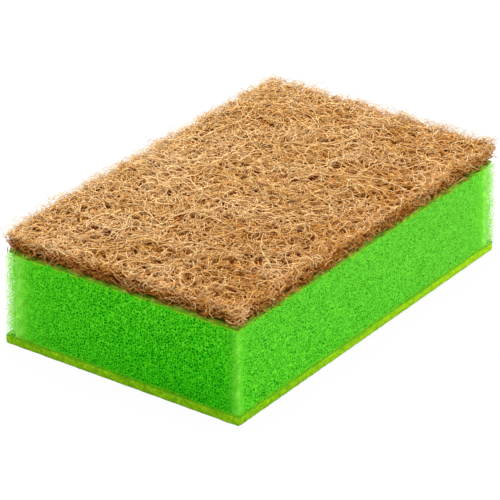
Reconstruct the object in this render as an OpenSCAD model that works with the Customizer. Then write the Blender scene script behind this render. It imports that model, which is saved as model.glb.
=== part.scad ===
// Kitchen cleaning sponge: a block of open-cell foam with a mat of curled plant fibres
// bonded on top and a thin wiping layer underneath. It rests on the wiping layer.
// Origin: centre of the underside. X runs along the length, Y along the width, Z up.

/* [Outline] */
// Length of the foam block
length = 110; // [70:1:160]
// Width of the foam block
width = 68; // [45:1:110]

/* [Base layer] */
// Thickness of the wiping layer
base_thickness = 2.3; // [1:0.1:6]
// Radius of its upright corners
base_corner = 1; // [0.5:0.1:6]

/* [Foam block] */
// Height of the foam
foam_height = 22.2; // [12:0.2:45]
// Radius of its upright edges
foam_corner = 1; // [0.5:0.1:6]

/* [Bond film] */
// Thickness of the dried adhesive
film_thickness = 0.5; // [0.2:0.1:1.5]
// How far the film may stop short of the foam's edge
film_shrink = 0.9; // [0.2:0.1:2]
// Spacing of the waves along its edge
film_wave = 4; // [2:0.5:10]

/* [Scouring pad] */
// Thickness of the mat under its strands
mat_thickness = 4.2; // [2:0.1:10]
// Spacing of the mat's tufts
tuft_pitch = 2; // [1.8:0.1:4]
// Depth of the hollows between the tufts
tuft_depth = 1; // [0.2:0.1:1.5]
// Tufts in a thousand that are missing and leave a gap
gap_share = 35; // [0:1:45]
// Depth of such a gap
gap_depth = 1.8; // [0.5:0.1:1.9]
// Radius of the mat's die-cut corners
pad_corner = 2; // [1:0.1:8]
// Depth of the frayed edge
fray_depth = 1.3; // [0.2:0.1:2.5]

/* [Strands] */
// Strands lying on top of the mat
strand_count = 32; // [10:1:40]
// Width of a strand at its foot
strand_width = 1.1; // [0.6:0.1:2.5]
// How far the highest strands stand above the mat
strand_relief = 0.8; // [0.2:0.1:2]
// Length of a strand along its curve
strand_run = 25; // [10:1:40]
// Tightest curl of a strand
curl_min = 9; // [6:0.5:12]
// Widest curl of a strand
curl_max = 30; // [13:1:60]

/* [Edge loops] */
// Spacing of the loops that stand out of the mat's sides
loop_pitch = 8; // [5:0.5:20]
// Length of a loop along the side
loop_run = 9; // [4:0.5:16]
// Width and height of a loop
loop_width = 1.3; // [0.6:0.1:1.8]

/* [Hidden] */
$fn = 32;

// Heights of the joints between the layers
foam_z = base_thickness;
film_z = foam_z + foam_height;
pad_z = film_z + film_thickness;

// Grid of the mat's tufts, and the rings of its sides
tuft_cols = ceil(length / tuft_pitch);
tuft_rows = ceil(width / tuft_pitch);
side_rings = 2;

// Straight pieces in a strand, in a loop and in a rounded corner
strand_steps = 5;
loop_steps = 2;
corner_steps = 3;
// A bead's foot is square, with one corner along the strand
bead_sides = 4;
// How deep a strand is rooted below the mat's top, and by how much that passes the tufts' hollows
root_bite = 0.3;
strand_root = tuft_depth + root_bite;
// Least share of a strand's full rise
strand_rise_min = 0.4;
// Most that a tuft or a loop is moved off its grid, as a share of the spacing
off_grid = 0.25;
// Turn of a loop's outer beads away from its middle one
loop_turn = 20;

// Seeds of the random sizes, one for each use
film_seed = 11;
fray_seed = 21;
tuft_seed = 51;
strand_seed = 71;
loop_seed = 91;

// Height lost by each tuft, and the thousandth that decides whether it is missing
tuft_loss = rands(0, tuft_depth, (tuft_cols + 1) * (tuft_rows + 1), tuft_seed);
tuft_fate = rands(0, 1000, (tuft_cols + 1) * (tuft_rows + 1), tuft_seed + 1);
tuft_shift = rands(-off_grid, off_grid, 2 * (tuft_cols + 1) * (tuft_rows + 1), tuft_seed + 2);
// What fraying takes from each end of a column or row, ring by ring
fray = [for (ring = [0:side_rings]) [for (side = [0:3])
    rands(0, fray_depth, max(tuft_cols, tuft_rows) + 1, fray_seed + 4 * ring + side)]];

// Middles of the strands, spread evenly over the mat by the golden ratio
golden = (sqrt(5) - 1) / 2;
strand_x = [for (i = [0:1:strand_count - 1])
    (length - 2 * pad_corner) * ((i * golden) % 1 - 0.5)];
strand_y = [for (i = [0:1:strand_count - 1])
    (width - 2 * pad_corner) * ((i + 0.5) / strand_count - 0.5)];
strand_curl = rands(curl_min, curl_max, strand_count, strand_seed + 2);
strand_heading = rands(0, 360, strand_count, strand_seed + 3);
strand_lift = rands(strand_rise_min, 1, strand_count, strand_seed + 4);

// Centre of rounded corner k of a rectangle, counted anticlockwise from +X +Y
function corner_centre(l, w, r, k) =
    let (turn = 45 + 90 * k)
    [sign(cos(turn)) * (l / 2 - r), sign(sin(turn)) * (w / 2 - r)];

// Point on a circle's rim
function around(centre, radius, angle) = centre + radius * [cos(angle), sin(angle)];

// Rounded rectangle whose edge is drawn in by a random part of depth at each point
function frayed_outline(l, w, r, depth, pitch, seed) =
    [for (k = [0:3])
        let (here = corner_centre(l, w, r, k), next = corner_centre(l, w, r, k + 1),
             out = 90 * (k + 1), count = ceil(norm(next - here) / pitch),
             cut = rands(0, depth, count + corner_steps + 1, seed + k))
        each concat(
            [for (i = [0:corner_steps])
                around(here, r - min(cut[count + i], r / 2), out - 90 + 90 * i / corner_steps)],
            [for (i = [1:count - 1])
                around(here + (next - here) * i / count, r - cut[i], out)])];

module rounded_plate(l, w, h, r) {
    linear_extrude(h) union() {
        square([l - 2 * r, w], center = true);
        square([l, w - 2 * r], center = true);
        for (k = [0:3]) translate(corner_centre(l, w, r, k)) circle(r);
    }
}

module base_layer() {
    color("yellowgreen")
        rounded_plate(length, width, base_thickness, base_corner);
}

module foam_block() {
    color("limegreen") translate([0, 0, foam_z])
        rounded_plate(length, width, foam_height, foam_corner);
}

module bond_film() {
    color("olivedrab") translate([0, 0, film_z])
        linear_extrude(film_thickness)
            polygon(frayed_outline(length, width, foam_corner + film_shrink,
                                   film_shrink, film_wave, film_seed));
}

// Draws a point of a full rectangle in to the mat's rounded corners
function rounded(p) =
    let (core = [length / 2 - pad_corner, width / 2 - pad_corner],
         over = [max(abs(p.x) - core.x, 0), max(abs(p.y) - core.y, 0)],
         pull = norm(over) > 0 ? max(over.x, over.y) / norm(over) : 1)
    [sign(p.x) * (min(abs(p.x), core.x) + over.x * pull),
     sign(p.y) * (min(abs(p.y), core.y) + over.y * pull)];

// Place of tuft column i, row j in a ring of the sides; the last ring is the mat's top
function tuft_place(i, j, ring) =
    let (left = -length / 2 + fray[ring][0][j], right = length / 2 - fray[ring][1][j],
         front = -width / 2 + fray[ring][2][i], back = width / 2 - fray[ring][3][i])
    rounded([left + (right - left) * i / tuft_cols, front + (back - front) * j / tuft_rows]);

function is_border(i, j) = i == 0 || j == 0 || i == tuft_cols || j == tuft_rows;

// Point of the top surface: each inner tuft is shifted a little and has its own height
function tuft_point(i, j) =
    let (n = i * (tuft_rows + 1) + j,
         place = tuft_place(i, j, side_rings),
         shift = is_border(i, j) ? [0, 0]
             : tuft_pitch * [tuft_shift[2 * n], tuft_shift[2 * n + 1]],
         gap = !is_border(i, j) && tuft_fate[n] < gap_share ? gap_depth : 0)
    [place.x + shift.x, place.y + shift.y, mat_thickness - tuft_loss[n] - gap];

// Columns and rows of the border, anticlockwise from the front left corner
border = concat(
    [for (i = [0:tuft_cols - 1]) [i, 0]],
    [for (j = [0:tuft_rows - 1]) [tuft_cols, j]],
    [for (i = [tuft_cols:-1:1]) [i, tuft_rows]],
    [for (j = [tuft_rows:-1:1]) [0, j]]);

module mat() {
    around_count = len(border);
    below = [for (ring = [0:side_rings - 1]) for (b = border)
        let (p = tuft_place(b.x, b.y, ring)) [p.x, p.y, mat_thickness * ring / side_rings]];
    above = [for (i = [0:tuft_cols]) for (j = [0:tuft_rows]) tuft_point(i, j)];
    function top_index(i, j) = len(below) + i * (tuft_rows + 1) + j;
    function ring_index(ring, k) =
        let (b = border[k % around_count])
        ring < side_rings ? ring * around_count + k % around_count : top_index(b.x, b.y);
    underside = [[for (k = [0:around_count - 1]) ring_index(0, k)]];
    sides = [for (ring = [0:side_rings - 1]) for (k = [0:around_count - 1]) each [
        [ring_index(ring, k), ring_index(ring + 1, k), ring_index(ring + 1, k + 1)],
        [ring_index(ring, k), ring_index(ring + 1, k + 1), ring_index(ring, k + 1)]]];
    top = [for (i = [0:tuft_cols - 1]) for (j = [0:tuft_rows - 1]) each [
        [top_index(i, j), top_index(i, j + 1), top_index(i + 1, j + 1)],
        [top_index(i, j), top_index(i + 1, j + 1), top_index(i + 1, j)]]];
    polyhedron(concat(below, above), concat(underside, sides, top));
}

// A strand is a chain of pointed beads, each joined to the next
module bead(point, heading, w, h) {
    translate(point) rotate(heading) cylinder(h = h, d1 = w, d2 = 0, $fn = bead_sides);
}

module chain(points, headings, w, h) {
    for (i = [0:len(points) - 2]) hull() {
        bead(points[i], headings[i], w, h);
        bead(points[i + 1], headings[i + 1], w, h);
    }
}

// A strand on top of the mat: an arc whose middle stands proud and whose ends dive in
module top_strand(i) {
    curl = strand_curl[i];
    sweep = strand_run / curl * 180 / PI;
    centre = around([strand_x[i], strand_y[i]], curl, strand_heading[i] + 180);
    lift = strand_relief * strand_lift[i];
    steps = [for (k = [0:strand_steps]) 2 * k / strand_steps - 1];
    angles = [for (s = steps) strand_heading[i] + s * sweep / 2];
    points = [for (k = [0:strand_steps])
        let (flat = around(centre, curl, angles[k]))
        [flat.x, flat.y, mat_thickness - strand_root - lift * pow(steps[k], 2)]];
    chain(points, [for (a = angles) a + 90], strand_width, strand_root + lift);
}

// Loops that bow out of one side of the mat, each at a height of its own
module edge_loops(side, side_length, reach_out) {
    count = floor((side_length - 2 * pad_corner) / loop_pitch);
    place = rands(-off_grid, off_grid, count, loop_seed + side);
    height = rands(0, mat_thickness - tuft_depth - loop_width, count, loop_seed + 4 + side);
    steps = [for (k = [0:loop_steps]) 2 * k / loop_steps - 1];
    for (i = [0:1:count - 1]) {
        middle = (i + 0.5 - count / 2 + place[i]) * loop_pitch;
        points = [for (s = steps)
            [middle + s * loop_run / 2,
             reach_out - loop_width / 2 - (fray_depth + loop_width) * pow(s, 2), height[i]]];
        rotate(90 * side) chain(points, [for (s = steps) -s * loop_turn], loop_width, loop_width);
    }
}

module scouring_pad() {
    color("peru") translate([0, 0, pad_z]) {
        mat();
        intersection() {
            for (i = [0:1:strand_count - 1]) top_strand(i);
            rounded_plate(length - 2 * fray_depth, width - 2 * fray_depth,
                          mat_thickness + strand_relief, pad_corner);
        }
        for (side = [0:3])
            edge_loops(side, side % 2 == 0 ? length : width,
                       (side % 2 == 0 ? width : length) / 2);
    }
}

base_layer();
foam_block();
bond_film();
scouring_pad();
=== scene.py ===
"""Looks of the kitchen sponge: a fibre scouring mat, a bond line, open-cell foam and a thin wiping layer.

Lengths in the shape code are millimetres in the CAD frame: X along the sponge, Y across it, Z up.
Meshes are scaled to metres as they are written. A corner is named by its signs in X and Y, so that
(-1, -1) is the one nearest to the camera, (-1, 1) is at the left and (1, -1) at the right.
"""
import math

import bpy
import numpy as np
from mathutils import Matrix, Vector
from mathutils.kdtree import KDTree


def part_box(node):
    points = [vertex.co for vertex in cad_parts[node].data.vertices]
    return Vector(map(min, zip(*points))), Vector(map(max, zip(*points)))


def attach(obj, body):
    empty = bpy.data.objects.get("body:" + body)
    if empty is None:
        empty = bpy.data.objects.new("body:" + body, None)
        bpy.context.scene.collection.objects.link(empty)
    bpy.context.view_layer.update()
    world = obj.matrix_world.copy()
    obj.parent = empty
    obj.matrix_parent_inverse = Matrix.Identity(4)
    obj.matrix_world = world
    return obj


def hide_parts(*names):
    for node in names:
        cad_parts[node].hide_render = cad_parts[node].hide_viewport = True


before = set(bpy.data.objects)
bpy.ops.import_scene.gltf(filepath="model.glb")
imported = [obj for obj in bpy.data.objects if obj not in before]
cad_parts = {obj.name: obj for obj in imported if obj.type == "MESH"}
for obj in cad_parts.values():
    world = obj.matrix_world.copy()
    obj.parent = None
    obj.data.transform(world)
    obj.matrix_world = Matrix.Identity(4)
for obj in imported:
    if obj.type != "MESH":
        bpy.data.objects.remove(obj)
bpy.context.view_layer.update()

MM = 0.001


# Layers, from the CAD boxes


def box_mm(node):
    """Lowest and highest corner of a CAD node in millimetres."""
    low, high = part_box(node)
    return np.array(low) / MM, np.array(high) / MM


BASE_LOW, BASE_HIGH = box_mm("base_layer")
FOAM_LOW, FOAM_HIGH = box_mm("foam_block")
FILM_LOW, FILM_HIGH = box_mm("bond_film")
PAD_LOW, PAD_HIGH = box_mm("scouring_pad")
HALF = (FOAM_HIGH[:2] - FOAM_LOW[:2]) / 2

# Camera, from the fit of a pinhole to the corners of the layers

IMAGE_SIZE = 500
FOCAL_PIXELS = 3102
SENSOR = 36.0
CAMERA_AZIMUTH = math.radians(-54.33)
CAMERA_ELEVATION = math.radians(26.98)
CAMERA_DISTANCE = 691.7
CAMERA_TARGET = Vector((-55.0, -37.3, 46.3))
# Nearest and furthest metres that it draws
CAMERA_RANGE = (0.01, 50)

# Light and floor

# Name, place in metres, width in metres and power in watts of each lamp
LAMPS = [("key", (0.4, -0.95, 0.7), 0.7, 5.0),
         ("top", (0.05, 0.08, 0.5), 0.35, 3.0),
         ("rim", (0.7, 1.0, 0.45), 0.8, 1.1),
         ("left", (-0.75, 1.0, 0.3), 0.5, 0.5)]
LAMP_TARGET = Vector((0, 0, 0.02))
WORLD_STRENGTH = 0.83
WHITE = (1, 1, 1, 1)
FLOOR_HALF = 4000.0
FLOOR_LEVEL = -0.05
FLOOR_COLOUR = (0.7, 0.7, 0.7, 1)
# Share of plain white in the floor that the camera sees. The rest carries the shadow
FLOOR_WHITE = 0.96

# Foam

FOAM_GRID = 0.35
# Radius of its four upright edges, large where the lace fills them out
FOAM_EDGE = {(1, 1): 0.6, (-1, 1): 3.8, (-1, -1): 0.6, (1, -1): 4.1}
# How much further out it stands at its foot than at its top
FOAM_SPREAD = 0.4
# Size of the cells that the sides cut open, and how far their centres stray, as a share of it
FOAM_CELL = 0.9
CELL_STRAY = 0.16
# How near to the sides a cell's centre lies if they cut it
CELL_REACH = 1.1
# Width over which a wall between two cells rises, and how far open the cells are
CELL_WALL = 0.34
CELL_OPENNESS = (0.55, 1.0)
PORE_DEPTH = 0.5
# Broad unevenness of the sides
LUMP_LENGTHS = (6, 22)
LUMP_HEIGHT = 0.12
# Height over which the relief fades out at the top and the foot
RELIEF_FADE = 0.4
# Number of the finest pores to a metre, and how irregular they are
FOAM_PORES = 1460
PORE_CHAOS = 0.9
# Upright edges that are lit through: which, how far in, and how strongly
GLOWS = [((-1, 1), 3.0, 0.55), ((-1, 1), 9.0, 0.25), ((-1, 1), 24.0, 0.12), ((-1, -1), 1.8, 0.42),
         ((-1, -1), 5.0, 0.15), ((1, -1), 3.2, 0.8), ((1, -1), 8.0, 0.25), ((1, 1), 1.8, 0.4)]
# Distance from a corner at which its glow starts to fall off, as a share of its radius
GLOW_START = 0.4
# How much deeper the colour is low down beside the near corner, on the side away from the light: a
# painted shade
LOW_SHADE = 0.45
# The paler cast of the side that faces the light, at its far end and how much less at its near end
VEIL = 1.0
VEIL_LOSS = 0.55
VEIL_POWER = 1.5
# How much of it goes low down at the near end
VEIL_SINK = 0.7

# Net of struts along the upright edges that are lit through

LACE_CORNERS = ((1, -1), (-1, 1))
LACE_CELL = 0.85
LACE_THICK = 0.06
LACE_REACH = 4.0
LACE_PROUD = 0.4
LACE_ROUNDING = 0.4
# Gap above and below it
LACE_GAP = 0.1
# How far its struts are bent away from an even net
LACE_BEND = 0.22
# How deep under the foam's skin it starts
LACE_ROOT = 0.35
# Share of the struts that are missing, and how many more are at its outside
LACE_LOSS = 0.25
LACE_OUTER_LOSS = 0.35
# Ways from a joint to its neighbours in a foam of equal cells with 14 faces
STRUT_STEPS = ((0, 1, 1), (0, 1, -1), (1, 0, 1), (1, 0, -1), (1, 1, 0), (1, -1, 0))

# Scouring mat

MAT_CORNER = 1.1
MAT_TOP = PAD_HIGH[2] + 0.05
# Height of its broad lumps
MAT_LUMPS = 0.3
# How much higher it stands at its far corner
BACK_RISE = 0.5
# How far its dark inside, a sheet that paints the shade among the deeper fibres, lies under its top and
# within its sides
CORE_DEPTH = 1.5
CORE_INSET = 1.3
CORE_GRID = 1.1
CORE_RINGS = 30
CORE_TAPER = 0.003
CORE_ROUGHNESS = 0.3
# How far the highest fibres stand above the CAD mat
HIGHEST = 1.4
FIBRE_RADIUS = 0.104
TUBE_SIDES = 3
# Just over a full turn, for headings and phases drawn at random
ANY_TURN = 6.3
# Swerves of a fibre along its way: shortest and longest wave, and size in radians
CURLS = ((8, 20, 0.65), (3, 6, 0.2))
LONG_CURLS = ((12, 30, 0.9), (5, 10, 0.4))
SIDE_CURL = 0.2
# Rise and fall of a fibre: shortest and longest wave
TOP_SWING = (3, 8)
SIDE_SWING = (2.5, 6)
# Hollows are never as deep as this, so that no fibre is left out
NO_HOLES = 9.0
# Painted light: how much lighter its fibres are towards the far end and the far side
FAR_LIGHT = np.array([0.01, 0.1])
SIDE_FAR_LIGHT = np.array([0.1, 0.07])
# How much lighter all its fibres are
LIGHTER_ALL = 0.03
# Depth under the top to which a fibre's tone is measured, and how much it falls over that depth, as
# painted shade
TONE_DEPTH = 1.2
DEPTH_SHADE = 0.1
# How much darker fibres are at the mat's foot, a painted shade where it meets the foam, and the height of
# that foot
FOOT_SHADE = 0.22
FOOT_HEIGHT = 1.1
# Painted light: how much lighter the cut side is at the near corner, and how far that reaches
NEAR_LIGHT = 0.28
NEAR_LIGHT_REACH = 13

# Bond film and wiping layer

FILM_INSET = 0.25
FILM_CORNER = 0.9
BASE_CORNER = 0.5
BASE_HALF = HALF + FOAM_SPREAD + 0.1
# How far the wiping layer is drawn out at its far side, and the width of the band that is drawn out
BASE_STRETCH = 0.5
BASE_BAND = 6
# Depth to which its sides are streaked. Its underside is plain
STREAK_DEPTH = 1.0
# How far a slab's edges are rounded off, and its flat faces' share of its outline
SLAB_EASE = 0.12
SLAB_FACE = (0.96, 0.96, 1)


# Outlines and random fields

CORNERS = [(1, 1), (-1, 1), (-1, -1), (1, -1)]


def corner_radii(points, radius):
    """The radius at the corner nearest to each point. A radius may differ from corner to corner."""
    if not isinstance(radius, dict):
        return radius
    right, far = points[..., 0] > 0, points[..., 1] > 0
    near = np.where(right, radius[(1, -1)], radius[(-1, -1)])
    return np.where(far, np.where(right, radius[(1, 1)], radius[(-1, 1)]), near)


def outline(points, half, radius):
    """Signed distance from a rounded rectangle, negative inside."""
    radius = corner_radii(points, radius)
    over = np.abs(points) - (half - np.asarray(radius)[..., None])
    outside = np.maximum(over, 0)
    length = np.hypot(outside[..., 0], outside[..., 1])
    return length + np.minimum(over.max(-1), 0) - radius


def ring(half, radius, spacing):
    """Points around a rounded rectangle, anticlockwise, with their outward directions."""
    places, outwards = [], []
    radii = [radius[c] if isinstance(radius, dict) else radius for c in CORNERS]
    centres = [(half - r) * c for r, c in zip(radii, CORNERS)]
    for turn in range(4):
        arc = max(3, round(radii[turn] * math.pi / 2 / spacing))
        angles = math.pi / 2 * (turn + np.arange(arc + 1) / arc)
        away = np.stack([np.cos(angles), np.sin(angles)], 1)
        places.append(centres[turn] + away * radii[turn])
        outwards.append(away)
        after = (turn + 1) % 4
        start, end = places[-1][-1], centres[after] + away[-1] * radii[after]
        count = max(2, round(np.linalg.norm(end - start) / spacing))
        share = (np.arange(1, count) / count)[:, None]
        places.append(start + (end - start) * share)
        outwards.append(np.repeat(away[-1:], count - 1, 0))
    return np.concatenate(places), np.concatenate(outwards)


def waves(points, rng, wavelengths, count=10):
    """Smooth random field of mean 0 and about -1 to 1, a sum of plane waves."""
    total = np.zeros(points.shape[:-1])
    for _ in range(count):
        direction = rng.normal(size=points.shape[-1])
        direction *= 2 * math.pi / rng.uniform(*wavelengths) / np.linalg.norm(direction)
        total += np.sin(points @ direction + rng.uniform(0, 2 * math.pi))
    return total / math.sqrt(count * 1.5)


def plane_waves(points, seed, wavelengths):
    """The same kind of field over points in the plane, always the same for a seed."""
    return waves(points[..., :2], np.random.default_rng(seed), wavelengths, 14)


# Meshes


def new_mesh(name, points, triangles=(), quads=(), smooth=True):
    """Mesh object from points in millimetres and arrays of triangles and quads."""
    mesh = bpy.data.meshes.new(name)
    triangles = np.asarray(triangles, np.int32).reshape(-1, 3)
    quads = np.asarray(quads, np.int32).reshape(-1, 4)
    mesh.vertices.add(len(points))
    mesh.vertices.foreach_set("co", (np.asarray(points, np.float32) * MM).ravel())
    mesh.loops.add(triangles.size + quads.size)
    mesh.loops.foreach_set("vertex_index", np.concatenate([triangles.ravel(), quads.ravel()]))
    mesh.polygons.add(len(triangles) + len(quads))
    starts = np.concatenate([np.arange(len(triangles)) * 3,
                             triangles.size + np.arange(len(quads)) * 4])
    mesh.polygons.foreach_set("loop_start", starts.astype(np.int32))
    mesh.update(calc_edges=True)
    mesh.polygons.foreach_set("use_smooth", np.full(len(mesh.polygons), smooth))
    piece = bpy.data.objects.new(name, mesh)
    bpy.context.scene.collection.objects.link(piece)
    return piece


def closed_rings(name, rings, first_centre, last_centre):
    """A closed piece from rings of equally many points, with a fan at each end, and its points."""
    count, columns = len(rings), len(rings[0])
    index = np.arange(count * columns).reshape(count, columns)
    beside = np.roll(index, -1, 1)
    quads = np.stack([index[:-1], beside[:-1], beside[1:], index[1:]], -1).reshape(-1, 4)
    first, last = np.full(columns, index.size), np.full(columns, index.size + 1)
    caps = np.concatenate([np.stack([first, beside[0], index[0]], -1),
                           np.stack([last, index[-1], beside[-1]], -1)])
    points = np.concatenate([np.reshape(rings, (-1, 3)), [first_centre, last_centre]])
    return new_mesh(name, points, caps, quads), points


def set_values(piece, name, values):
    """Gives each point of a piece a number that its material can read."""
    attribute = piece.data.attributes.new(name, "FLOAT", "POINT")
    attribute.data.foreach_set("value", np.asarray(values, np.float32))


def tubes(paths, kept, radii, rng):
    """Closed tubes along the kept runs of paths. Returns points, quads, end triangles and the mask."""
    along = np.gradient(paths, axis=1)
    along /= np.maximum(np.linalg.norm(along, axis=2, keepdims=True), 1e-9)
    across = np.cross(along, [0.0, 0.0, 1.0])
    flat = np.linalg.norm(across, axis=2, keepdims=True)
    across = np.where(flat > 0.05, across / np.maximum(flat, 1e-9), [1.0, 0.0, 0.0])
    up = np.cross(across, along)
    rolls = rng.uniform(0, 2, len(paths))
    angles = rolls[:, None] + np.arange(TUBE_SIDES) * 2 * math.pi / TUBE_SIDES
    spoke = (np.cos(angles)[:, None, :, None] * across[:, :, None]
             + np.sin(angles)[:, None, :, None] * up[:, :, None])
    points = paths[:, :, None] + spoke * radii[:, :, None, None]
    before = np.pad(kept[:, :-1], ((0, 0), (1, 0)))
    after = np.pad(kept[:, 1:], ((0, 0), (0, 1)))
    kept = kept & (before | after)
    order = np.full(kept.shape, -1)
    order[kept] = np.arange(kept.sum())
    index = order[..., None] * TUBE_SIDES + np.arange(TUBE_SIDES)
    joined = kept[:, :-1] & kept[:, 1:]
    here, ahead = index[:, :-1][joined], index[:, 1:][joined]
    quads = np.stack([here, np.roll(here, -1, 1), np.roll(ahead, -1, 1), ahead], -1)
    first, last = index[kept & ~before], index[kept & ~after]
    caps = []
    for k in range(1, TUBE_SIDES - 1):
        caps.append(np.stack([first[:, 0], first[:, k + 1], first[:, k]], -1))
        caps.append(np.stack([last[:, 0], last[:, k], last[:, k + 1]], -1))
    return points[kept].reshape(-1, 3), quads.reshape(-1, 4), np.concatenate(caps), kept


# Materials


def srgb(colour):
    """Linear values of a colour written as 0 to 255 on screen."""
    shares = [c / 255 for c in colour]
    return tuple(c / 12.92 if c <= 0.04045 else ((c + 0.055) / 1.055) ** 2.4 for c in shares)


class Nodes:
    """Short calls for building one node material."""

    def __init__(self, name):
        self.material = bpy.data.materials.new(name)
        self.material.use_nodes = True
        self.tree = self.material.node_tree
        self.shader = self.tree.nodes["Principled BSDF"]

    def add(self, kind, **settings):
        node = self.tree.nodes.new(kind)
        for key, value in settings.items():
            setattr(node, key, value)
        return node

    def link(self, source, target):
        self.tree.links.new(source, target)

    def position(self):
        return self.add("ShaderNodeTexCoord").outputs["Object"]

    def value(self, name):
        """A number that set_values has given to the points."""
        return self.add("ShaderNodeAttribute", attribute_name=name).outputs["Fac"]

    def noise(self, per_metre, detail):
        node = self.add("ShaderNodeTexNoise")
        node.inputs["Scale"].default_value = per_metre
        node.inputs["Detail"].default_value = detail
        node.inputs["Roughness"].default_value = 0.55
        self.link(self.position(), node.inputs["Vector"])
        return node.outputs["Fac"]

    def cells(self, per_metre, feature="F1", chaos=1.0, output="Distance"):
        node = self.add("ShaderNodeTexVoronoi", feature=feature)
        node.inputs["Scale"].default_value = per_metre
        node.inputs["Randomness"].default_value = chaos
        self.link(self.position(), node.inputs["Vector"])
        return node.outputs[output]

    def maths(self, operation, a, b, clamp=False):
        """Joins a socket with another socket or with a number."""
        node = self.add("ShaderNodeMath", operation=operation, use_clamp=clamp)
        self.link(a, node.inputs[0])
        if isinstance(b, (int, float)):
            node.inputs[1].default_value = b
        else:
            self.link(b, node.inputs[1])
        return node.outputs[0]

    def span(self, value, low, high, to_low=0.0, to_high=1.0):
        """Maps one range of a value to another."""
        node = self.add("ShaderNodeMapRange")
        for key, number in zip(("From Min", "From Max", "To Min", "To Max"),
                               (low, high, to_low, to_high)):
            node.inputs[key].default_value = number
        self.link(value, node.inputs["Value"])
        return node.outputs["Result"]

    def ramp(self, value, stops):
        """Colours along a value, from stops of a place and a colour."""
        node = self.add("ShaderNodeValToRGB")
        elements = node.color_ramp.elements
        while len(elements) < len(stops):
            elements.new(1.0)
        for element, (place, colour) in zip(elements, stops):
            element.position = place
            element.color = (*srgb(colour), 1)
        self.link(value, node.inputs["Fac"])
        return node.outputs["Color"]

    def mix(self, share, a, b, blend="MIX"):
        """Mixes a colour socket with another one or with a written colour."""
        node = self.add("ShaderNodeMix", data_type="RGBA", blend_type=blend)
        self.link(share, node.inputs[0])
        self.link(a, node.inputs[6])
        if isinstance(b, tuple):
            node.inputs[7].default_value = (*srgb(b), 1)
        else:
            self.link(b, node.inputs[7])
        return node.outputs[2]

    def scatter(self, weight, scale):
        """Lets light spread inside the piece, over about that many metres."""
        self.shader.inputs["Subsurface Weight"].default_value = weight
        self.shader.inputs["Subsurface Scale"].default_value = scale
        self.shader.inputs["Subsurface Radius"].default_value = (0.6, 1.0, 0.3)

    def finish(self, colour, roughness, specular, height, bump, depth):
        """Sets the colour, the gloss and a bump of that depth in metres."""
        self.link(colour, self.shader.inputs["Base Color"])
        self.shader.inputs["Roughness"].default_value = roughness
        self.shader.inputs["Specular IOR Level"].default_value = specular
        node = self.add("ShaderNodeBump")
        node.inputs["Strength"].default_value = bump
        node.inputs["Distance"].default_value = depth
        self.link(height, node.inputs["Height"])
        self.link(node.outputs["Normal"], self.shader.inputs["Normal"])
        return self.material


def fibre_material():
    """Curled plant fibres, from dark brown to pale straw."""
    n = Nodes("plant_fibre")
    speckle = n.span(n.noise(900, 2.0), 0.3, 0.7, -0.1, 0.1)
    patches = n.span(n.noise(60, 2.0), 0.35, 0.65, -0.1, 0.09)
    # The tone holds each fibre's own tone together with the painted shade and light from fibre_tones
    tone = n.maths("ADD", n.maths("ADD", n.value("tone"), speckle), patches, clamp=True)
    colour = n.ramp(tone, [(0.0, (104, 46, 0)), (0.3, (164, 90, 8)), (0.6, (198, 140, 60)),
                           (0.85, (216, 171, 107)), (1.0, (230, 198, 145))])
    warm = n.span(n.noise(60, 2.0), 0.35, 0.7, 0.0, 0.19)
    colour = n.mix(warm, colour, (214, 140, 66), "MULTIPLY")
    colour = n.mix(n.value("foot"), colour, (176, 160, 56), "MULTIPLY")
    return n.finish(colour, roughness=0.75, specular=0.15,
                    height=n.noise(2500, 2.0), bump=0.3, depth=0.00005)


def mat_core_material():
    """The dark inside of the mat, a painted shade among its deeper fibres, greener at its foot."""
    n = Nodes("shaded_mat_core")
    colour = n.ramp(n.noise(700, 4.0), [(0.3, (76, 34, 4)), (0.55, (112, 56, 12)),
                                        (0.75, (140, 80, 26))])
    colour = n.mix(n.value("foot"), colour, (48, 78, 0))
    return n.finish(colour, roughness=0.9, specular=0.1,
                    height=n.noise(1500, 4.0), bump=1.0, depth=0.0003)


def foam_pore_shade(n, edge):
    """How dark a point of the foam is, as painted shade: in fine pores of uneven depth, in the larger cut
    cells, and low down beside the near corner.
    """
    random = n.add("ShaderNodeSeparateColor")
    n.link(n.cells(FOAM_PORES, "F1", PORE_CHAOS, "Color"), random.inputs[0])
    depth = n.span(random.outputs[0], 0.0, 1.0, 0.5, 1.3)
    open_pore = n.maths("MULTIPLY", n.span(edge, 0.03, 0.26), depth)
    # Painted shade from the pore value: deeper cut cells, and the low corner away from the light
    deep = n.maths("MULTIPLY", n.value("pore"), 0.35)
    return n.maths("ADD", n.maths("MULTIPLY", open_pore, 0.78), deep, clamp=True)


def foam_material():
    """Green foam, paler where light passes through it or lies on it, yellower at top and foot."""
    n = Nodes("foam")
    edge = n.cells(FOAM_PORES, "DISTANCE_TO_EDGE", PORE_CHAOS)
    shade = foam_pore_shade(n, edge)
    colour = n.ramp(shade, [(0.0, (124, 224, 50)), (0.25, (64, 196, 10)), (0.6, (18, 160, 2)),
                            (1.0, (0, 122, 0))])
    through = n.ramp(n.value("glow"), [(0.0, (76, 208, 24)), (0.5, (120, 221, 56)),
                                       (1.0, (176, 255, 104))])
    pale = n.ramp(shade, [(0.0, (120, 221, 63)), (0.25, (101, 198, 52)), (0.6, (83, 179, 40)),
                          (1.0, (67, 156, 30))])
    colour = n.mix(n.value("veil"), colour, pale)
    colour = n.mix(n.value("glow"), colour, through)
    colour = n.mix(n.value("glue"), colour, (132, 188, 26))
    colour = n.mix(n.value("foot"), colour, (118, 176, 6))
    n.scatter(0.15, 0.0015)
    return n.finish(colour, roughness=0.9, specular=0.05, height=edge, bump=0.5, depth=0.0003)


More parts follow.
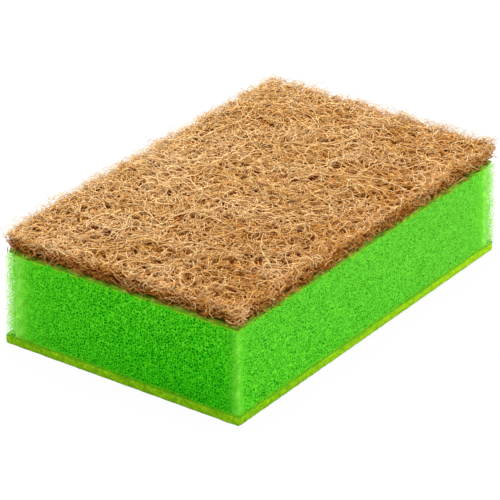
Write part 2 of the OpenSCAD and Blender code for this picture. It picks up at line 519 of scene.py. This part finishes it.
def lace_material():
    """Thin struts that are lit through: pale, scattering and very faintly glowing."""
    n = Nodes("foam_lace")
    colour = n.ramp(n.noise(500, 2.0), [(0.3, (112, 240, 36)), (0.7, (166, 252, 92))])
    n.scatter(1.0, 0.0012)
    n.shader.inputs["Emission Color"].default_value = (0.1, 1.0, 0.02, 1)
    n.shader.inputs["Emission Strength"].default_value = 0.09
    return n.finish(colour, roughness=0.8, specular=0.2,
                    height=n.noise(3000, 1.0), bump=0.2, depth=0.00005)


def film_material():
    """Dried adhesive, in yellowish and dark green patches; the dark green is partly painted shade of the
    gap under the mat.
    """
    n = Nodes("adhesive")
    colour = n.ramp(n.noise(400, 4.0), [(0.3, (66, 112, 0)), (0.5, (124, 172, 16)),
                                        (0.72, (184, 208, 70))])
    return n.finish(colour, roughness=0.55, specular=0.3,
                    height=n.noise(1800, 3.0), bump=0.6, depth=0.0002)


def base_material():
    """The finely porous, yellow-green wiping layer."""
    n = Nodes("wiping_layer")
    fine = n.cells(2600)
    grain = n.maths("ADD", n.noise(900, 4.0), n.span(fine, 0.0, 0.5, -0.2, 0.12))
    # The streak value holds the real streaks and painted light, lighter towards the right end and darker
    # at the left
    shade = n.maths("ADD", grain, n.value("streaks_and_light"), clamp=True)
    colour = n.ramp(shade, [(0.2, (90, 140, 0)), (0.5, (130, 190, 0)), (0.85, (180, 222, 30))])
    # Painted shade along the bottom edge, where the layer sits on the floor
    colour = n.mix(n.value("rim"), colour, (84, 112, 2))
    colour = n.mix(n.value("seam"), colour, (70, 164, 10))
    return n.finish(colour, roughness=0.85, specular=0.12, height=fine, bump=0.5, depth=0.00015)


# Foam


def cell_centres(low, high, size, rng):
    """Jittered centres of a foam's cells, two to a cube of that size."""
    counts = np.ceil((high - low) / size).astype(int) + 2
    grid = np.stack(np.meshgrid(*[np.arange(c) for c in counts], indexing="ij"), -1)
    corners = grid.reshape(-1, 3) * size + low - size
    both = np.concatenate([corners, corners + size / 2])
    return both + rng.normal(0, CELL_STRAY * size, both.shape)


def nearest_two(points, centres):
    """Distance from each point to its nearest and its second nearest centre, and which is nearest."""
    tree = KDTree(len(centres))
    for i, centre in enumerate(centres):
        tree.insert(centre, i)
    tree.balance()
    found = [tree.find_n(p, 2) for p in points]
    return (np.array([f[0][2] for f in found]), np.array([f[1][2] for f in found]),
            np.array([f[0][1] for f in found]))


def foam_rings():
    """Rings of points up the foam's sides, and the outward direction at each point."""
    places, outward = ring(HALF, FOAM_EDGE, FOAM_GRID)
    rows = round((FOAM_HIGH[2] - FOAM_LOW[2]) / FOAM_GRID) + 1
    heights = np.linspace(FOAM_LOW[2], FOAM_HIGH[2], rows)
    points = np.concatenate([np.repeat(places[None], rows, 0),
                             np.repeat(heights[:, None, None], len(places), 1)], 2)
    away = np.concatenate([np.repeat(outward[None], rows, 0),
                           np.zeros((rows, len(places), 1))], 2)
    return points, away


def cut_cells(points, rng):
    """How deep each point lies in a cell that the sides cut open: 0 on a wall, up to 1 inside."""
    low = np.array([-HALF[0], -HALF[1], FOAM_LOW[2]])
    high = np.array([HALF[0], HALF[1], FOAM_HIGH[2]])
    centres = cell_centres(low, high, FOAM_CELL, rng)
    distance = outline(centres[:, :2], HALF, FOAM_EDGE)
    centres = centres[np.abs(distance) < CELL_REACH]
    first, second, owner = nearest_two(points, centres)
    openness = rng.uniform(*CELL_OPENNESS, len(centres))[owner]
    return np.clip((second - first) / CELL_WALL, 0, 1) * openness


def edge_glow(points, corner, width, strength):
    """Light that comes through one upright edge of the foam."""
    away = np.linalg.norm(points[:, :2] - HALF * corner, axis=1) - GLOW_START * FOAM_EDGE[corner]
    return strength * np.exp(-(np.maximum(away, 0) / width) ** 2)


def set_foam_values(piece, points, pore, facing, rng):
    """What the foam's material reads: pores with painted shade low down beside the near corner, light let
    through, paler cast of the lit side, adhesive and foot.
    """
    low, high = FOAM_LOW[2], FOAM_HIGH[2]
    lower = np.clip(1 - (points[:, 2] - low) / (high - low), 0, 1)
    nearer = np.clip(0.5 - points[:, 1] / (2 * HALF[1]), 0, 1)
    # Painted shade, low down on the side away from the light, towards the near corner
    low_shade = LOW_SHADE * lower * nearer * (points[:, 0] < -HALF[0] + 1)
    set_values(piece, "pore", pore + low_shade)
    uneven = 1 + 0.15 * waves(points, rng, (1.5, 4))
    glow = sum(edge_glow(points, *one) for one in GLOWS)
    set_values(piece, "glow", np.clip(glow * uneven, 0, 1))
    reach = np.clip((HALF[0] - points[:, 0]) / (2 * HALF[0]), 0, 1)
    veil = facing * (VEIL - VEIL_LOSS * reach ** VEIL_POWER)
    set_values(piece, "veil", veil * (1 - VEIL_SINK * reach * lower))
    ragged = 0.5 + 0.5 * waves(points, rng, (0.9, 5), 16)
    set_values(piece, "glue", np.clip((points[:, 2] - (high - ragged)) / 0.5, 0, 0.8))
    foot_height = 0.6 + 0.35 * waves(points, rng, (1.5, 6))
    foot = 1 - (points[:, 2] - low) / foot_height
    set_values(piece, "foot", np.clip(foot, 0, 1) * 0.6)


def make_foam():
    """The foam block: sides cut through open cells, upright edges drawn in under the lace."""
    rng = np.random.default_rng(7)
    low, high = FOAM_LOW[2], FOAM_HIGH[2]
    rings, away = foam_rings()
    flat = rings.reshape(-1, 3)
    pore = cut_cells(flat, rng)
    lumps = waves(flat, rng, LUMP_LENGTHS) * LUMP_HEIGHT
    ends = np.clip(np.minimum(flat[:, 2] - low, high - flat[:, 2]) / RELIEF_FADE, 0, 1)
    sunk = pore * PORE_DEPTH * ends
    spread = FOAM_SPREAD * (high - flat[:, 2]) / (high - low)
    flat = flat + away.reshape(-1, 3) * (spread + lumps * ends - sunk)[:, None]
    piece, points = closed_rings("foam_body", flat.reshape(rings.shape), (0, 0, low), (0, 0, high))
    facing = np.clip(-away[..., 1].ravel(), 0, 1)
    set_foam_values(piece, points, np.append(pore, [0.5, 0.5]), np.append(facing, [0, 0]), rng)
    piece.data.materials.append(foam_material())
    return piece


def strut_ends(low, high, size):
    """Ends of the struts of a foam of equal cells with 14 faces, in a box."""
    unit = size / 4
    counts = np.ceil((high - low) / unit).astype(int)
    grid = np.stack(np.meshgrid(*[np.arange(c) for c in counts], indexing="ij"), -1)
    grid = grid.reshape(-1, 3)

    def is_joint(p):
        rest = p % 4
        return ((rest == 0).sum(1) == 1) & ((rest == 2).sum(1) == 1)

    joints = grid[is_joint(grid)]
    starts, ends = [], []
    for step in STRUT_STEPS:
        other = joints + step
        kept = is_joint(other)
        starts.append(joints[kept])
        ends.append(other[kept])
    return np.concatenate(starts) * unit + low, np.concatenate(ends) * unit + low


def lace_struts(edge, low_z, high_z):
    """Ends of the struts at all upright edges that have lace."""
    all_starts, all_ends = [], []
    for signs in LACE_CORNERS:
        corner = edge * signs
        inner = corner - np.array(signs) * LACE_REACH
        low = np.array([*np.minimum(corner, inner), low_z])
        high = np.array([*np.maximum(corner, inner), high_z])
        starts, ends = strut_ends(low, high, LACE_CELL)
        all_starts.append(starts)
        all_ends.append(ends)
    return np.concatenate(all_starts), np.concatenate(all_ends)


def bent(points):
    """Points moved off the even net. Equal points move together, so that struts still meet."""
    shift = [waves(points, np.random.default_rng(30 + axis), (1.5, 4.0), 8) for axis in range(3)]
    return points + LACE_BEND * np.stack(shift, -1)


def make_lace():
    """The open net of struts that the light shines through along the upright edges."""
    rng = np.random.default_rng(17)
    low_z, high_z = FOAM_LOW[2] + LACE_GAP, FOAM_HIGH[2] - LACE_GAP
    edge = HALF + LACE_PROUD
    starts, ends = lace_struts(edge, low_z, high_z)
    starts, ends = bent(starts), bent(ends)
    middle = ((starts + ends) / 2)[:, :2]
    body = outline(middle, HALF, FOAM_EDGE)
    skin = outline(middle, edge, LACE_ROUNDING)
    loss = LACE_LOSS + LACE_OUTER_LOSS * np.clip(skin + 1, 0, 1)
    kept = (body > -LACE_ROOT) & (skin < 0.05) & (rng.uniform(size=len(middle)) > loss)
    starts, ends = starts[kept], ends[kept]
    for points in (starts, ends):
        np.clip(points[:, 2], low_z, high_z, out=points[:, 2])
        points[:, :2] = np.clip(points[:, :2], -edge, edge)
        lift = (high_z - points[:, 2]) / (high_z - low_z)
        points[:, :2] += np.sign(points[:, :2]) * (FOAM_SPREAD * lift)[:, None]
    paths = np.stack([starts, ends], 1)
    radii = np.repeat(rng.uniform(0.7, 1.25, len(paths))[:, None], 2, 1) * LACE_THICK
    points, quads, caps, _ = tubes(paths, np.ones(paths.shape[:2], bool), radii, rng)
    piece = new_mesh("foam_lace", points, caps, quads)
    piece.data.materials.append(lace_material())
    return piece


# Scouring mat


def mat_top(points):
    """Height of the mat's lumpy top over points in the plane."""
    lumps = plane_waves(points, 5, (4, 20))
    away = (points[..., :2] / HALF).sum(-1) / 2
    return MAT_TOP + MAT_LUMPS * np.clip(lumps, -1.3, 1.3) + BACK_RISE * np.maximum(away, 0)


def mat_foot(points):
    """Height of the mat's ragged lower edge over points in the plane."""
    lumps = plane_waves(points, 9, (2, 13))
    return PAD_LOW[2] + 0.05 + 0.55 * np.maximum(lumps, -1.2)


def fray(points):
    """How far the mat's cut edge lies outside its outline at points in the plane."""
    return 0.5 * plane_waves(points, 8, (2.5, 14)) + 0.1


def hollow(points):
    """Where the mat's surface is open: low in the small holes between its tangles."""
    share = points[..., :2] / HALF
    away = share.sum(-1) / 2
    aside = np.abs(share[..., 0] - share[..., 1]) / 2
    return plane_waves(points, 11, (1.8, 5.0)) + 0.25 * away + 0.2 * aside


def make_mat_core():
    """The dark inside of the mat, seen only between the fibres: a sheet that paints the shade among the
    deeper fibres.
    """
    rng = np.random.default_rng(3)
    places, _ = ring(HALF - CORE_INSET, MAT_CORNER, CORE_GRID)
    low = PAD_LOW[2]
    columns = len(places)
    rows = [np.column_stack([places, np.full(columns, low)])]
    for share in (0.33, 0.66, 1.0):
        height = low + (mat_top(places) - CORE_DEPTH - low) * share
        rows.append(np.column_stack([places * (1 - CORE_TAPER * share), height]))
    for k in range(1, CORE_RINGS):
        inner = places * (1 - k / CORE_RINGS)
        rows.append(np.column_stack([inner, mat_top(inner) - CORE_DEPTH]))
    flat = np.concatenate(rows)
    rough = waves(flat, rng, (1.6, 4.0), 14) * CORE_ROUGHNESS
    flat[columns:, 2] += rough[columns:]
    top = mat_top(np.zeros((1, 2)))[0] - CORE_DEPTH
    rings = flat.reshape(-1, columns, 3)
    piece, points = closed_rings("shaded_mat_core", rings, (0, 0, low), (0, 0, top))
    set_values(piece, "foot", np.clip(1 - (points[:, 2] - low) / 1.2, 0, 1))
    piece.data.materials.append(mat_core_material())
    return piece


def wander(rng, starts, headings, steps, step, curl, ripple):
    """Flat paths of fibres whose curl changes along the way."""
    count = len(starts)
    s = np.arange(steps) * step
    turning = rng.normal(0, curl, (count, 1)) * s
    for low, high, size in ripple:
        length = rng.uniform(low, high, (count, 1))
        swerve = rng.normal(0, size, (count, 1))
        phase = rng.uniform(0, ANY_TURN, (count, 1))
        turning = turning + swerve * np.sin(2 * math.pi * s / length + phase)
    angle = headings[:, None] + turning
    move = np.stack([np.cos(angle), np.sin(angle)], -1) * step
    move[:, 0] = 0
    return starts[:, None] + np.cumsum(move, 1)


def swing(rng, count, steps, step, wave, size):
    """Rise and fall of fibres along their length."""
    s = np.arange(steps) * step
    length = rng.uniform(*wave, (count, 1))
    return size * np.sin(2 * math.pi * s / length + rng.uniform(0, ANY_TURN, (count, 1)))


def top_fibres(rng, count, steps, step, depth, curl, ripple=CURLS, rise=0.45):
    """Fibres of the mat's top, between two depths under its surface."""
    starts = rng.uniform(-HALF - 3, HALF + 3, (count, 2))
    flat = wander(rng, starts, rng.uniform(0, ANY_TURN, count), steps, step, curl, ripple)
    deep = rng.uniform(*depth, (count, 1))
    height = mat_top(flat) - deep + swing(rng, count, steps, step, TOP_SWING, rise)
    height = np.clip(height, PAD_LOW[2], PAD_HIGH[2] + HIGHEST)
    return np.concatenate([flat, height[..., None]], -1)


def side_fibres(rng, count, steps, step, inset=(-0.3, 2.2), level=(0.05, 1.0), rise=0.55, near=1.0):
    """Short curled fibres in the mat's cut sides, from that far inside the edge and that high up.

    The number near says how many start at the two near sides for each that starts at the far ones.
    """
    places, outward = ring(HALF, MAT_CORNER, 0.5)
    share = np.where(outward.sum(1) > 0, 1.0, near)
    chosen = rng.choice(len(places), count, p=share / share.sum())
    starts = places[chosen] - outward[chosen] * rng.uniform(*inset, (count, 1))
    flat = wander(rng, starts, rng.uniform(0, ANY_TURN, count), steps, step, SIDE_CURL, CURLS)
    flat += (starts - flat.mean(1))[:, None]
    levels = rng.uniform(*level, (count, 1))
    low, high = mat_foot(flat), mat_top(flat) - 0.1
    height = low + (high - low) * levels
    height = height + swing(rng, count, steps, step, SIDE_SWING, rise)
    height = np.clip(height, low - 0.15, PAD_HIGH[2] + HIGHEST)
    return np.concatenate([flat, height[..., None]], -1)


def cut_to_outline(rng, paths, stray):
    """Which points of the fibres lie within the mat's cut edge."""
    distance = outline(paths[..., :2], HALF, MAT_CORNER)
    allowed = fray(paths) + rng.exponential(stray, (len(paths), 1))
    return distance < allowed


def fibre_tones(rng, paths, foot, tone, spread, far_light):
    """How pale the fibres are, from 0 to 1: at random, with painted shade by depth and at the foot, and
    painted light by place.
    """
    level = (paths[..., 2] - mat_top(paths)) / TONE_DEPTH
    # Painted shade: darker the deeper a point lies under the top
    tones = tone + rng.normal(0, spread, (len(paths), 1)) + DEPTH_SHADE * np.clip(level, -2, 1)
    # Painted shade at the foot and painted light towards the far end and far side, then a lift for all
    tones = tones - FOOT_SHADE * foot + (paths[..., :2] / HALF) @ far_light + LIGHTER_ALL
    # Painted light on the cut side at the near corner, under the top
    nearer = np.linalg.norm(paths[..., :2] + HALF, axis=-1)
    return tones + NEAR_LIGHT * np.exp(-nearer / NEAR_LIGHT_REACH) * np.clip(-level, 0, 1)


def fibre_piece(name, rng, material, paths, thick, tone, spread,
                stray=0.35, holes=NO_HOLES, far_light=FAR_LIGHT):
    """One piece of many fibres, cut to the mat's outline, each with its own tone and thickness."""
    foot = np.clip(1 - (paths[..., 2] - PAD_LOW[2]) / FOOT_HEIGHT, 0, 1)
    tones = fibre_tones(rng, paths, foot, tone, spread, far_light)
    radii = FIBRE_RADIUS * thick * rng.uniform(0.7, 1.25, len(paths))
    kept = cut_to_outline(rng, paths, stray) & (hollow(paths) > -holes)
    radii = radii[:, None] * rng.uniform(0.85, 1.15, paths.shape[:2])
    points, quads, caps, kept = tubes(paths, kept, radii, rng)
    piece = new_mesh(name, points, caps, quads)
    set_values(piece, "tone", np.repeat(np.clip(tones, 0, 1)[kept], TUBE_SIDES))
    set_values(piece, "foot", np.repeat(foot[kept], TUBE_SIDES))
    piece.data.materials.append(material)
    return piece


def make_fibres():
    """The tangle of the mat, in layers from the dark inside to the pale strands on top. The darker tones
    of the lower layers are painted shade.
    """
    rng = np.random.default_rng(23)
    material = fibre_material()
    # Lower layers have darker tones, a painted shade inside the tangle
    deep = fibre_piece(
        "fibres_deep", rng, material,
        top_fibres(rng, 1150, steps=13, step=0.95, depth=(1.1, 2.0), curl=0.15),
        thick=1.15, tone=0.44, spread=0.1)
    middle = fibre_piece(
        "fibres_middle", rng, material,
        top_fibres(rng, 2850, steps=15, step=0.8, depth=(0.5, 1.3), curl=0.13),
        thick=1.0, tone=0.78, spread=0.12, holes=0.9)
    top = fibre_piece(
        "fibres_top", rng, material,
        top_fibres(rng, 3050, steps=15, step=0.74, depth=(0.0, 0.65), curl=0.13),
        thick=0.92, tone=0.88, spread=0.13, holes=0.7)
    side = fibre_piece(
        "fibres_side", rng, material,
        side_fibres(rng, 2900, steps=12, step=0.6),
        thick=1.2, tone=0.8, spread=0.22, far_light=SIDE_FAR_LIGHT)
    stray = fibre_piece(
        "fibres_stray", rng, material,
        side_fibres(rng, 2000, steps=9, step=0.65, inset=(-1.5, 0.2), level=(0.55, 1.2),
                    rise=0.7, near=0.15),
        thick=0.52, tone=0.96, spread=0.1, stray=0.9)
    pale = fibre_piece(
        "strands_pale", rng, material,
        top_fibres(rng, 90, steps=40, step=0.9, depth=(-0.25, 0.05), curl=0.09,
                   ripple=LONG_CURLS, rise=0.2),
        thick=1.05, tone=0.96, spread=0.06)
    return [deep, middle, top, side, stray, pale]


# Bond film and wiping layer


def slab(name, half, radius, low, high, spacing, rough, rows, seed):
    """A thin closed slab with fine relief on its rounded sides."""
    rng = np.random.default_rng(seed)
    places, outward = ring(half, radius, spacing)
    layers = []
    for k in range(rows + 1):
        share = k / rows
        layer = np.column_stack([places, np.full(len(places), low + (high - low) * share)])
        relief = rough * waves(layer, rng, (0.8, 3.0), 12) - SLAB_EASE * abs(2 * share - 1) ** 4
        layer[:, :2] += outward * relief[:, None]
        layers.append(layer)
    layers = [layers[0] * SLAB_FACE, *layers, layers[-1] * SLAB_FACE]
    piece, _ = closed_rings(name, layers, (0, 0, low), (0, 0, high))
    return piece


def make_base():
    """The wiping layer, streaked along its sides, greener where it meets the foam, with painted shade
    along its bottom edge and painted light towards its right end.
    """
    piece = slab("wiping_layer", BASE_HALF, BASE_CORNER, BASE_LOW[2], BASE_HIGH[2],
                 spacing=0.5, rough=0.06, rows=8, seed=12)
    points = np.array([v.co for v in piece.data.vertices]) / MM
    band = np.clip((points[:, 1] - HALF[1] + BASE_BAND) / BASE_BAND, 0, 1.1)
    points[:, 1] += BASE_STRETCH * band ** 2
    piece.data.vertices.foreach_set("co", (points * MM).astype(np.float32).ravel())
    heights = points[:, 2] - BASE_LOW[2]
    rng = np.random.default_rng(14)
    # Painted shade along the bottom edge, where the layer sits on the floor
    set_values(piece, "rim", np.clip(1 - heights / 0.3, 0, 1) * 0.15)
    ragged = 0.55 + 0.45 * waves(points, rng, (1.5, 7))
    seam = 1 - (BASE_HIGH[2] - BASE_LOW[2] - heights) / np.maximum(ragged, 0.05)
    set_values(piece, "seam", np.clip(seam, 0, 1) * 0.85)
    along = waves(points * (0.15, 0.15, 1.0), rng, (0.5, 1.4), 14)
    along = along * (outline(points[:, :2], BASE_HALF, BASE_CORNER) > -STREAK_DEPTH)
    # Streaks along the sides, plus painted light towards the right end and painted shade at the left end
    set_values(piece, "streaks_and_light", 0.05 * along + 0.12 * points[:, 0] / HALF[0])
    piece.data.materials.append(base_material())
    return piece


def make_film():
    """The lip of dried adhesive between the mat and the foam."""
    piece = slab("bond_line", HALF - FILM_INSET, FILM_CORNER, FILM_LOW[2], FILM_HIGH[2],
                 spacing=0.4, rough=0.4, rows=4, seed=13)
    piece.data.materials.append(film_material())
    return piece


# Stage


def floor_material():
    """Pale grey under the lamps, almost plain white to the camera, so that the shadow stays."""
    n = Nodes("floor")
    n.shader.inputs["Base Color"].default_value = FLOOR_COLOUR
    n.shader.inputs["Roughness"].default_value = 0.9
    white = n.add("ShaderNodeEmission")
    mix = n.add("ShaderNodeMixShader")
    path = n.add("ShaderNodeLightPath")
    n.link(n.maths("MULTIPLY", path.outputs["Is Camera Ray"], FLOOR_WHITE), mix.inputs[0])
    n.link(n.shader.outputs[0], mix.inputs[1])
    n.link(white.outputs[0], mix.inputs[2])
    n.link(mix.outputs[0], n.tree.nodes["Material Output"].inputs["Surface"])
    return n.material


def make_floor():
    """A floor that reaches past every view."""
    sides = ((-1, -1), (1, -1), (1, 1), (-1, 1))
    corners = [(x * FLOOR_HALF, y * FLOOR_HALF, FLOOR_LEVEL) for x, y in sides]
    floor = new_mesh("floor", corners, quads=[(0, 1, 2, 3)], smooth=False)
    floor.data.materials.append(floor_material())


def make_lamps():
    """Soft lamps that face the sponge."""
    for name, place, size, power in LAMPS:
        light = bpy.data.lights.new(name, "AREA")
        light.shape = "DISK"
        light.size = size
        light.energy = power
        lamp = bpy.data.objects.new(name, light)
        lamp.location = place
        lamp.rotation_euler = (LAMP_TARGET - lamp.location).to_track_quat("-Z", "Y").to_euler()
        bpy.context.scene.collection.objects.link(lamp)


def make_world():
    """Soft white light from all around, and plain white to the camera."""
    world = bpy.data.worlds.new("studio")
    world.use_nodes = True
    tree = world.node_tree
    background = tree.nodes["Background"]
    background.inputs["Color"].default_value = WHITE
    background.inputs["Strength"].default_value = WORLD_STRENGTH
    seen = tree.nodes.new("ShaderNodeBackground")
    seen.inputs["Color"].default_value = WHITE
    path = tree.nodes.new("ShaderNodeLightPath")
    mix = tree.nodes.new("ShaderNodeMixShader")
    tree.links.new(path.outputs["Is Camera Ray"], mix.inputs[0])
    tree.links.new(background.outputs[0], mix.inputs[1])
    tree.links.new(seen.outputs[0], mix.inputs[2])
    tree.links.new(mix.outputs[0], tree.nodes["World Output"].inputs["Surface"])
    bpy.context.scene.world = world


def make_camera():
    """The photo's camera."""
    back = Vector((math.sin(CAMERA_AZIMUTH) * math.cos(CAMERA_ELEVATION),
                   -math.cos(CAMERA_AZIMUTH) * math.cos(CAMERA_ELEVATION),
                   math.sin(CAMERA_ELEVATION)))
    data = bpy.data.cameras.new("camera")
    data.sensor_width = SENSOR
    data.lens = FOCAL_PIXELS / IMAGE_SIZE * SENSOR
    data.clip_start, data.clip_end = CAMERA_RANGE
    camera = bpy.data.objects.new("camera", data)
    camera.location = (CAMERA_TARGET + back * CAMERA_DISTANCE) * MM
    camera.rotation_euler = (-back).to_track_quat("-Z", "Y").to_euler()
    bpy.context.scene.collection.objects.link(camera)
    bpy.context.scene.camera = camera


# Scene


def dress(piece, node=None):
    """Ties a piece to the part's body and hides the CAD node that it stands for, if one is given."""
    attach(piece, "root")
    if node:
        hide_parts(node)


def main():
    bpy.context.scene.view_settings.view_transform = "Standard"
    make_camera()
    make_lamps()
    make_world()
    make_floor()
    dress(make_base(), "base_layer")
    dress(make_foam(), "foam_block")
    dress(make_lace())
    dress(make_film(), "bond_film")
    dress(make_mat_core(), "scouring_pad")
    for piece in make_fibres():
        dress(piece)


main()
